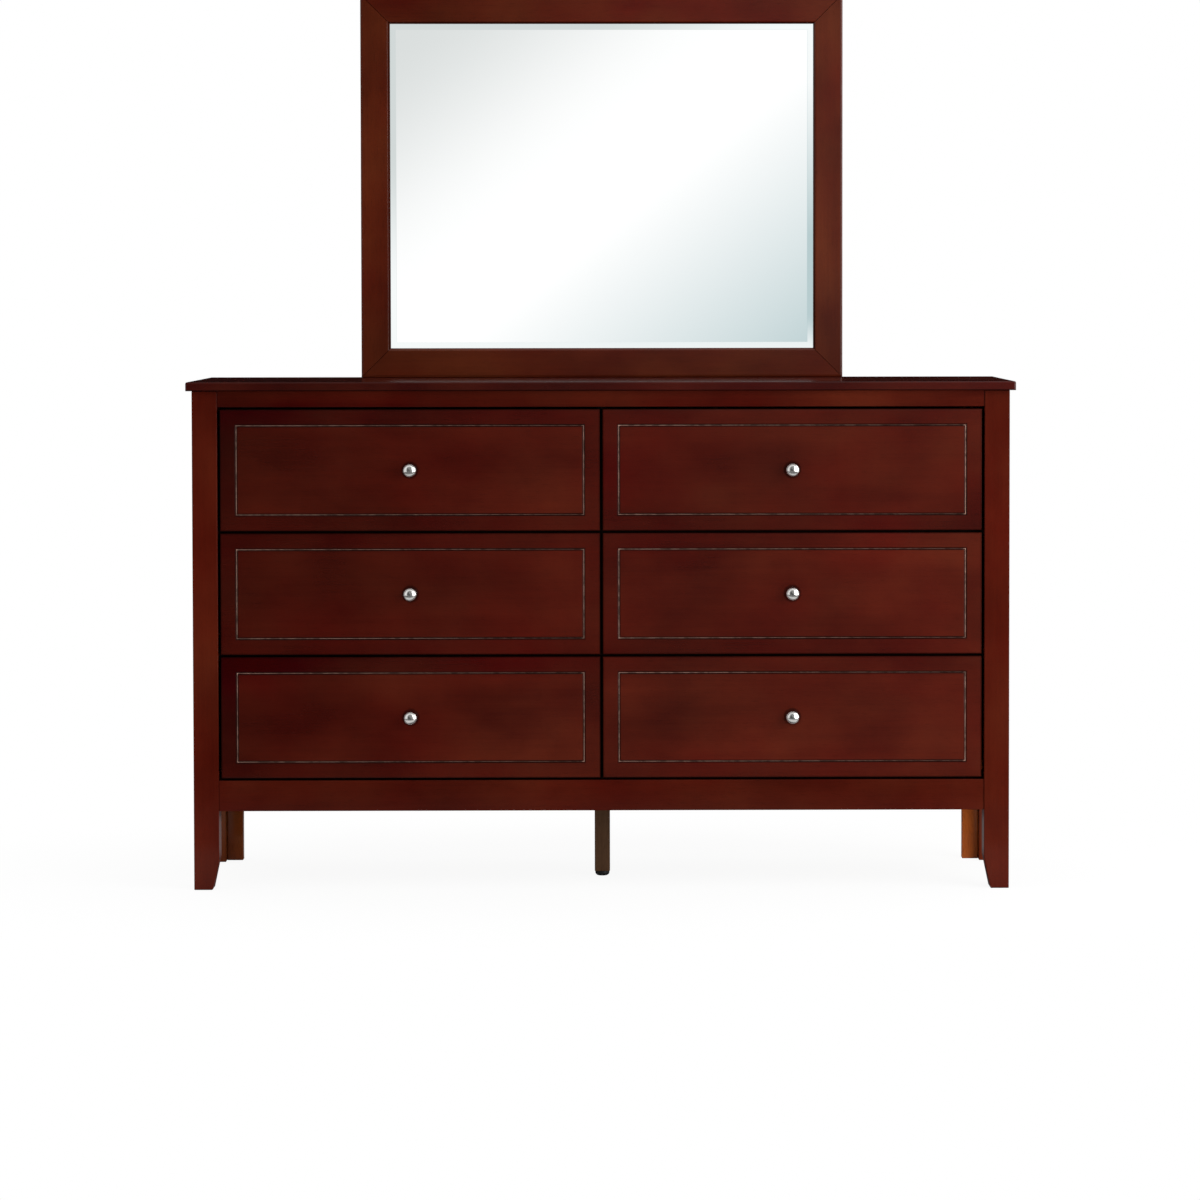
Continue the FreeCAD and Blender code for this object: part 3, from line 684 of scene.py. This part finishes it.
def metal_finish(name, colour, roughness):
    """Turned metal: fine rings on the length walked along the profile, blotches of handling."""
    line_height = 0.004 * mm
    made, tree = new_material(name)
    line_place = place(tree, "ShaderNodeCombineXYZ", {0: stored_mark(tree, "turning")}).outputs[0]
    rings = stretched_noise(tree, line_place, (5200.0, 1.0, 1.0), detail=2.0)
    touched = stretched_noise(tree, object_places(tree), (160.0, 160.0, 160.0), detail=3.0)
    tarnish = eased_range(tree, touched, 0.35, 0.75)
    tarnished = tuple(channel * 0.9 for channel in colour)
    shade_with(tree, {
        "Metallic": 1.0, "Base Color": mixed(tree, tarnish, colour + (1,), tarnished + (1,)),
        "Roughness": added_up(tree, roughness - 0.05, [(tarnish, 0.08), (rings, 0.10)]),
        "Normal": relief(tree, rings, line_height)})
    return made


def glide_finish():
    """Black plastic: a fine moulded texture, scuffed lighter near the floor."""
    black, scuff_colour, scuffs_up_to = (0.009, 0.009, 0.009, 1), (0.06, 0.056, 0.05, 1), 6 * mm
    made, tree = new_material("Black glide plastic")
    spot = object_places(tree)
    texture = stretched_noise(tree, spot, (1800.0, 1800.0, 1800.0), detail=2.0)
    scuffs = stretched_noise(tree, spot, (90.0, 300.0, 900.0), detail=3.0, rough=0.65)
    low = eased_range(tree, place(tree, "ShaderNodeSeparateXYZ", {0: spot}).outputs[2], scuffs_up_to, 0.0)
    scuffed = times(tree, eased_range(tree, scuffs, 0.5, 0.7), reckon(tree, "MULTIPLY_ADD", low, 0.7, 0.15))
    shade_with(tree, {
        "Base Color": mixed(tree, scuffed, black, scuff_colour),
        "Roughness": reckon(tree, "MULTIPLY_ADD", scuffed, 0.3, 0.42),
        "Normal": relief(tree, texture, 0.04 * mm, strength=0.6)})
    return made


def mirror_finish():
    """Silvered glass: sharp and pale, a little greener on the bevel, with faint dust."""
    silver, bevel_tint, dust_colour = (0.965, 0.972, 0.970, 1), (0.86, 0.90, 0.90, 1), (0.7, 0.7, 0.69, 1)
    made, tree = new_material("Silvered glass")
    spot = object_places(tree)
    drift = stretched_noise(tree, spot, (5.0, 5.0, 5.0), detail=3.0)
    specks = stretched_noise(tree, spot, (700.0, 700.0, 700.0), detail=1.0)
    dust = times(tree, eased_range(tree, specks, 0.66, 0.76), eased_range(tree, drift, 0.4, 0.8))
    tint = mixed(tree, times(tree, stored_mark(tree, "bevel"), 0.8), silver, bevel_tint)
    tint = mixed(tree, times(tree, dust, 0.10), tint, dust_colour)
    shade_with(tree, {"Metallic": 1.0, "Base Color": tint, "Roughness": 0.0})
    return made


knob_metal = metal_finish("Satin nickel", (0.95, 0.94, 0.91), 0.16)
screw_steel = metal_finish("Zinc plated steel", (0.52, 0.50, 0.46), 0.38)
glide_plastic = glide_finish()
silvered_glass = mirror_finish()


# Pieces

def dress(node, piece, material):
    """The piece stands for a node: it takes the node's body and the given finish, and the node is hidden."""
    piece.data.materials.append(material)
    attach(piece, nodes[node]["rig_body"])
    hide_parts(node)


def carry_over(node, material):
    """Keeps a node's own mesh and gives it a finish."""
    for place_on in nodes[node].material_slots:
        place_on.material = material
    if not nodes[node].material_slots:
        nodes[node].data.materials.append(material)


def board_for(node, run, radius, finish, tone=0.0, turn=0.0, painted_shade_ends=0.0):
    """Board in the place of a node that is one square-cut solid. turn is the board's own
    number, which moves its grain."""
    low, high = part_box(node)
    made = board(node + "_finish", low, high, run, radius, tone, turn, painted_shade_ends)
    dress(node, made, finishes[finish])


def place_top():
    """Top board, notched at the back round the two uprights of the mirror."""
    notch_clearance, notch_width, radius = 1 * mm, 72 * mm, 3 * mm
    tone, turn = (-0.28, 0.12, 0.0), 0.11
    low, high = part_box("top_board")
    notch_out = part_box("mirror_supports")[1].x + notch_clearance
    notch_in = notch_out - notch_width
    notch_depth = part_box("back_panel")[1].y
    notches = [(-notch_out, -notch_in, notch_depth), (notch_in, notch_out, notch_depth)]
    made = table_top("top_board_finish", low, high, notches, radius, tone, turn)
    dress("top_board", made, finishes["top"])


def place_case():
    """Posts, legs, panels, rails, partition, runners, and what stands behind the mirror."""
    foot_width, taper_height, post_radius = 33 * mm, 57 * mm, 1.5 * mm
    # the right back leg's board is far lighter than the left: painted light where the lamp reaches under the
    # case
    post_tones, back_board_tones = ((0.2, 0.0, 0.08), (0.05, 0.0, -0.12)), (0.05, 1.55)
    for number, (side, outer) in enumerate((("left", -1), ("right", 1))):
        low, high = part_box("front_post_" + side)
        made = post("front_post_%s_finish" % side, low, high, outer, foot_width, taper_height, post_radius,
                    post_tones[number], 0.2 + 0.3 * number)
        dress("front_post_" + side, made, finishes["post"])
        turn, tone = 0.1 * number, back_board_tones[number]
        board_for("rear_leg_side_board_" + side, along_z, 1.2 * mm, "back_leg", -0.3, 0.31 + turn)
        board_for("rear_leg_back_board_" + side, along_z, 1.2 * mm, "back_leg", tone, 0.55 + turn)
        board_for("side_panel_" + side, along_z, 0.4 * mm, "case_z", 0.0, 0.77 + turn)
        carry_over("side_rails_" + side, finishes["case_y"])
    # painted shade on the rails' ends where they meet the posts; the top rail is also lighter towards its
    # top, painted light where the top's overhang shades it
    board_for("top_rail", along_x, 0.9 * mm, "rail", (0.05, 0.32, 0.22), 0.42, painted_shade_ends=1.0)
    board_for("bottom_rail", along_x, 0.9 * mm, "rail", (-0.05, 0.05, 0.0), 0.63, painted_shade_ends=1.0)
    board_for("centre_leg", along_z, 1.5 * mm, "centre_leg", 0.0, 0.2)
    # the partition and the divider rails take the near-black finish: painted shade seen through the gaps
    board_for("centre_partition", along_y, 0.6 * mm, "gap_shade_rail", 0.0, 0.5)
    for node, finish in (("divider_rails", "gap_shade_rail"), ("rear_web_rails", "inner_x"),
                         ("rear_top_rails", "inner_x"), ("drawer_runners", "inner_y"),
                         ("back_panel", "thin_board"), ("mirror_backing", "thin_board"),
                         ("mirror_supports", "inner_z")):
        carry_over(node, finishes[finish])
    carry_over("support_screws", screw_steel)


def place_glide():
    """Glide under the centre leg."""
    low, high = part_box("centre_leg_glide")
    foot = ((low.x + high.x) / 2, (low.y + high.y) / 2, low.z)
    glide = turned("centre_leg_glide_finish", foot, glide_profile(), (0, 0, 1))
    dress("centre_leg_glide", glide, glide_plastic)


def place_mirror():
    """Four members of the frame, each turned by quarters about the mirror's middle, and glass."""
    bevel_width, bevel_depth = 20 * mm, 0.6 * mm
    rail_low, rail_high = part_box("mirror_bottom_rail")
    stile_low, stile_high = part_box("mirror_stile_left")
    middle = Matrix.Translation((0, rail_low.y, (stile_low.z + stile_high.z) / 2))
    wide, tall = rail_high.x - rail_low.x, stile_high.z - stile_low.z
    for number, (node, length, across, quarter, finish, tone) in enumerate((
            ("mirror_bottom_rail", wide, tall, 0, "frame_x", (0.14, -0.02, 0.0)),
            ("mirror_stile_right", tall, wide, -1, "frame_z", (0.14, 0.0, -0.1)),
            ("mirror_top_rail", wide, tall, 2, "frame_x", (-0.12, 0.08, 0.0)),
            ("mirror_stile_left", tall, wide, 1, "frame_z", (0.12, 0.0, -0.12)))):
        turn = Matrix.Rotation(quarter * math.pi / 2, 4, "Y")
        to_place = middle @ turn @ Matrix.Translation((0, 0, -across / 2))
        made = mirror_member(node + "_finish", length, to_place, tone, 0.15 + 0.21 * number)
        dress(node, made, finishes[finish])
    glass = bevelled_glass("mirror_glass_finish", *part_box("mirror_glass"), bevel_width, bevel_depth)
    dress("mirror_glass", glass, silvered_glass)


def place_drawer(name, number, tone, border_painted_shade):
    """Front, box, knob and knob screw of one drawer. Its front has its own tone and a border
    that is darker by painted shade."""
    low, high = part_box(name + "_front")
    front = drawer_front(name + "_front_finish", low, high, tone, border_painted_shade, 0.09 + 0.13 * number)
    dress(name + "_front", front, finishes["case_x"])
    carry_over(name + "_sides", finishes["drawer_y"])
    board_for(name + "_back", along_x, 0.8 * mm, "drawer_x", 0.0, 0.1 * number)
    board_for(name + "_bottom", along_x, 0.2 * mm, "thin_board", 0.0, 0.1 * number)
    x, z = (low.x + high.x) / 2, (low.z + high.z) / 2
    knob = turned(name + "_knob_finish", (x, low.y, z), knob_profile(), (0, -1, 0))
    dress(name + "_knob", knob, knob_metal)
    head = turned(name + "_knob_screw_head", (x, high.y, z), screw_head_profile(), (0, 1, 0), around=32)
    head.data.materials.append(screw_steel)
    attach(head, name)


place_top()
place_case()
place_glide()
place_mirror()
# each drawer: its tone, whose changes towards the right and upwards are partly painted light falling across
# the front, and the painted shade of its border
for number, (corner, tone, border_painted_shade) in enumerate((
        ("top_left", (0.01, 0.17, -0.10), 0.32), ("middle_left", (-0.06, 0.12, 0.0), 0.12),
        ("bottom_left", (0.12, 0.25, -0.14), 0.36), ("top_right", (0.0, 0.03, 0.0), 0.17),
        ("middle_right", (0.08, 0.04, 0.04), 0.17), ("bottom_right", (0.07, 0.03, -0.07), 0.11))):
    place_drawer("drawer_" + corner, number, tone, border_painted_shade)


# Floor, light and camera

plain_white = (1, 1, 1, 1)


def pale_floor():
    """Flat pale floor. Light Path shows it near white to the camera and in the mirror, and keeps
    the object's shadow close to it. To rough gloss it glows instead, as a painted reflection of a lit
    floor, with a painted shadow close to the object, brightest a little way out and fading with distance."""
    half_x, front, back = 2.6, -1.8, 2.4
    corners = [(-half_x, front, 0), (half_x, front, 0), (half_x, back, 0), (-half_x, back, 0)]
    mesh = bpy.data.meshes.new("floor")
    mesh.from_pydata(corners, [], [(0, 1, 2, 3)])
    floor = add_object("floor", mesh)
    made, tree = new_material("Pale floor")
    path = place(tree, "ShaderNodeLightPath").outputs
    spot = object_places(tree)
    narrowed = on_vectors(tree, "MULTIPLY", spot, (0.55, 1.0, 1.0))
    away = place(tree, "ShaderNodeVectorMath", {0: narrowed}, operation="LENGTH").outputs["Value"]
    mottled = stretched_noise(tree, spot, (3.0, 3.0, 3.0), detail=3.0)
    pale = mixed(tree, mottled, (0.95, 0.95, 0.95, 1), (0.97, 0.97, 0.97, 1))
    matt = place(tree, "ShaderNodeBsdfDiffuse", {"Color": pale}).outputs[0]
    white = place(tree, "ShaderNodeEmission", {"Color": plain_white, "Strength": 1.0}).outputs[0]
    # painted reflection that rough gloss sees of the floor: a painted shadow near the object, a bright band
    # close by, faint far off
    painted_shadow_near_object = eased_range(tree, away, 0.35, 0.5, 0.05, 1.0)
    close_by = eased_range(tree, away, 0.95, 0.75, 0.20, 0.60)
    far_off = eased_range(tree, away, 1.7, 1.2, 0.15, 1.0)
    glow = times(tree, close_by, times(tree, painted_shadow_near_object, far_off))
    painted_floor_reflection = place(tree, "ShaderNodeEmission", {"Color": plain_white, "Strength": glow}).outputs[0]
    through = reckon(tree, "ADD", path["Is Transmission Ray"], path["Is Singular Ray"])
    seen = reckon(tree, "ADD", path["Is Camera Ray"], through, clamp=True)
    share = times(tree, seen, eased_range(tree, away, 0.35, 0.9, 0.92, 1.0))
    bright = place(tree, "ShaderNodeMixShader", {0: share, 1: matt, 2: white}).outputs[0]
    blurred = reckon(tree, "SUBTRACT", path["Is Glossy Ray"], path["Is Singular Ray"], clamp=True)
    surface = place(tree, "ShaderNodeMixShader", {0: blurred, 1: bright, 2: painted_floor_reflection}).outputs[0]
    place(tree, "ShaderNodeOutputMaterial", {"Surface": surface})
    mesh.materials.append(made)


def mirror_cloud(tree, x, z):
    """What the mirror shows: white, with a soft grey upper left and a pale blue-green lower
    right. The slanted number falls to the upper left and grows to the lower right."""
    white, grey, blue_green = (1.04, 1.04, 1.04, 1), (0.73, 0.755, 0.75, 1), (0.54, 0.66, 0.68, 1)
    above = times(tree, reckon(tree, "SUBTRACT", z, 0.016), 12.5)
    slanted = reckon(tree, "SUBTRACT", times(tree, x, 10.0), above)
    to_right = place(tree, "ShaderNodeMapRange", {0: slanted, 1: -0.03, 2: 0.85}, clamp=True).outputs[0]
    cloud = mixed(tree, eased_range(tree, slanted, -0.35, -1.2), white, grey)
    straight_on = eased_range(tree, z, -0.05, -0.03)
    return mixed(tree, straight_on, cloud, mixed(tree, to_right, cloud, blue_green))


def distance_in(tree, x, z, middle_x, middle_z, half_x, half_z):
    """Distance from a middle, measured in half widths: 1 on the outline of an ellipse."""
    across = reckon(tree, "DIVIDE", reckon(tree, "SUBTRACT", x, middle_x), half_x)
    up = reckon(tree, "DIVIDE", reckon(tree, "SUBTRACT", z, middle_z), half_z)
    return reckon(tree, "SQRT", reckon(tree, "MULTIPLY_ADD", across, across, times(tree, up, up)))


def between(tree, share, first, second):
    """Number carried from first to second by a share."""
    return reckon(tree, "MULTIPLY_ADD", share, reckon(tree, "SUBTRACT", second, first), first)


def dim_room(tree, x, y, z):
    """Brightness that rough gloss sees. In front is a far dark end, darkest on the left, then
    grey walls with one dark doorway, then a bright surround; behind it is dark at the horizon
    and bright above."""
    wall_grey, doorway_dark = 0.22, 0.03
    lower = eased_range(tree, x, -0.12, 0.10, 0.015, 0.07)
    upper = eased_range(tree, x, -0.07, 0.06, 0.02, 0.20)
    far_end = between(tree, eased_range(tree, z, -0.025, -0.010), lower, upper)
    off_middle = distance_in(tree, x, z, 0.0, 0.0, 1.0, 1.0)
    walls = between(tree, eased_range(tree, off_middle, 0.17, 0.32), far_end, wall_grey)
    doorway = eased_range(tree, distance_in(tree, x, z, -0.42, 0.25, 0.17, 0.5), 1.15, 0.85)
    room = between(tree, doorway, walls, doorway_dark)
    surround = eased_range(tree, x, -0.6, 0.6, 0.75, 1.0)
    outwards = eased_range(tree, distance_in(tree, x, z, 0.0, 0.0, 0.62, 0.80), 0.9, 1.15)
    behind = eased_range(tree, z, 0.5, 1.1, 0.003, 0.8)
    return between(tree, eased_range(tree, y, -0.25, 0.45), between(tree, outwards, room, surround), behind)


def studio_world(light):
    """Surroundings. The camera and glass see white, the mirror its cloud and rough gloss the
    dim room; the object itself is lit by plain white of the given strength."""
    world = bpy.data.worlds.new("Studio")
    bpy.context.scene.world = world
    world.use_nodes = True
    tree = world.node_tree
    tree.nodes.clear()
    way = place(tree, "ShaderNodeTexCoord").outputs["Generated"]
    x, y, z = place(tree, "ShaderNodeSeparateXYZ", {0: way}).outputs[:3]
    path = place(tree, "ShaderNodeLightPath").outputs
    room = dim_room(tree, x, y, z)
    room_colour = place(tree, "ShaderNodeCombineXYZ", {0: room, 1: room, 2: room}).outputs[0]
    reflected = mixed(tree, path["Is Singular Ray"], room_colour, mirror_cloud(tree, x, z))
    seen = reckon(tree, "ADD", path["Is Camera Ray"], path["Is Transmission Ray"], clamp=True)
    is_look = reckon(tree, "ADD", seen, path["Is Glossy Ray"], clamp=True)
    colour = mixed(tree, is_look, plain_white, mixed(tree, seen, reflected, plain_white))
    strength = reckon(tree, "MULTIPLY_ADD", is_look, 1.0 - light, light)
    shade = place(tree, "ShaderNodeBackground", {"Color": colour, "Strength": strength}).outputs[0]
    place(tree, "ShaderNodeOutputWorld", {"Surface": shade})


def soft_lamp(name, place_at, look_at, size, power):
    """Oblong area lamp turned towards a point."""
    data = bpy.data.lights.new(name, "AREA")
    data.shape = "RECTANGLE"
    data.size, data.size_y = size
    data.energy = power
    lamp = add_object(name, data)
    lamp.location = place_at
    lamp.rotation_euler = (Vector(look_at) - Vector(place_at)).to_track_quat("-Z", "Y").to_euler()


def make_camera():
    """The photograph's view: 7.26 m in front, just above the top, looking slightly down."""
    picture_px, focal_px, axis_x_px, axis_y_px, sensor = 1200, 3939.0, 660.0, 450.0, 36.0
    place_at = (0.0381, -7.2573, 1.0661)
    to_left, downwards, roll = math.radians(-0.547), math.radians(2.23), math.radians(-0.068)
    data = bpy.data.cameras.new("camera")
    data.sensor_fit, data.sensor_width = "HORIZONTAL", sensor
    data.lens = focal_px / picture_px * sensor
    data.shift_x = (picture_px / 2 - axis_x_px) / picture_px
    data.shift_y = (axis_y_px - picture_px / 2) / picture_px
    data.clip_start, data.clip_end = 0.1, 100.0
    camera = add_object("camera", data)
    look = Matrix.Rotation(to_left, 4, "Z") @ Matrix.Rotation(math.pi / 2 - downwards, 4, "X")
    camera.matrix_world = Matrix.Translation(place_at) @ look @ Matrix.Rotation(roll, 4, "Z")
    bpy.context.scene.camera = camera


pale_floor()
studio_world(light=0.84)
soft_lamp("Large lamp on the right", place_at=(2.3, -1.7, 1.32), look_at=(0.2, 0.0, 0.9),
          size=(2.2, 2.6), power=76.0)
make_camera()
bpy.context.scene.view_settings.view_transform = "Standard"
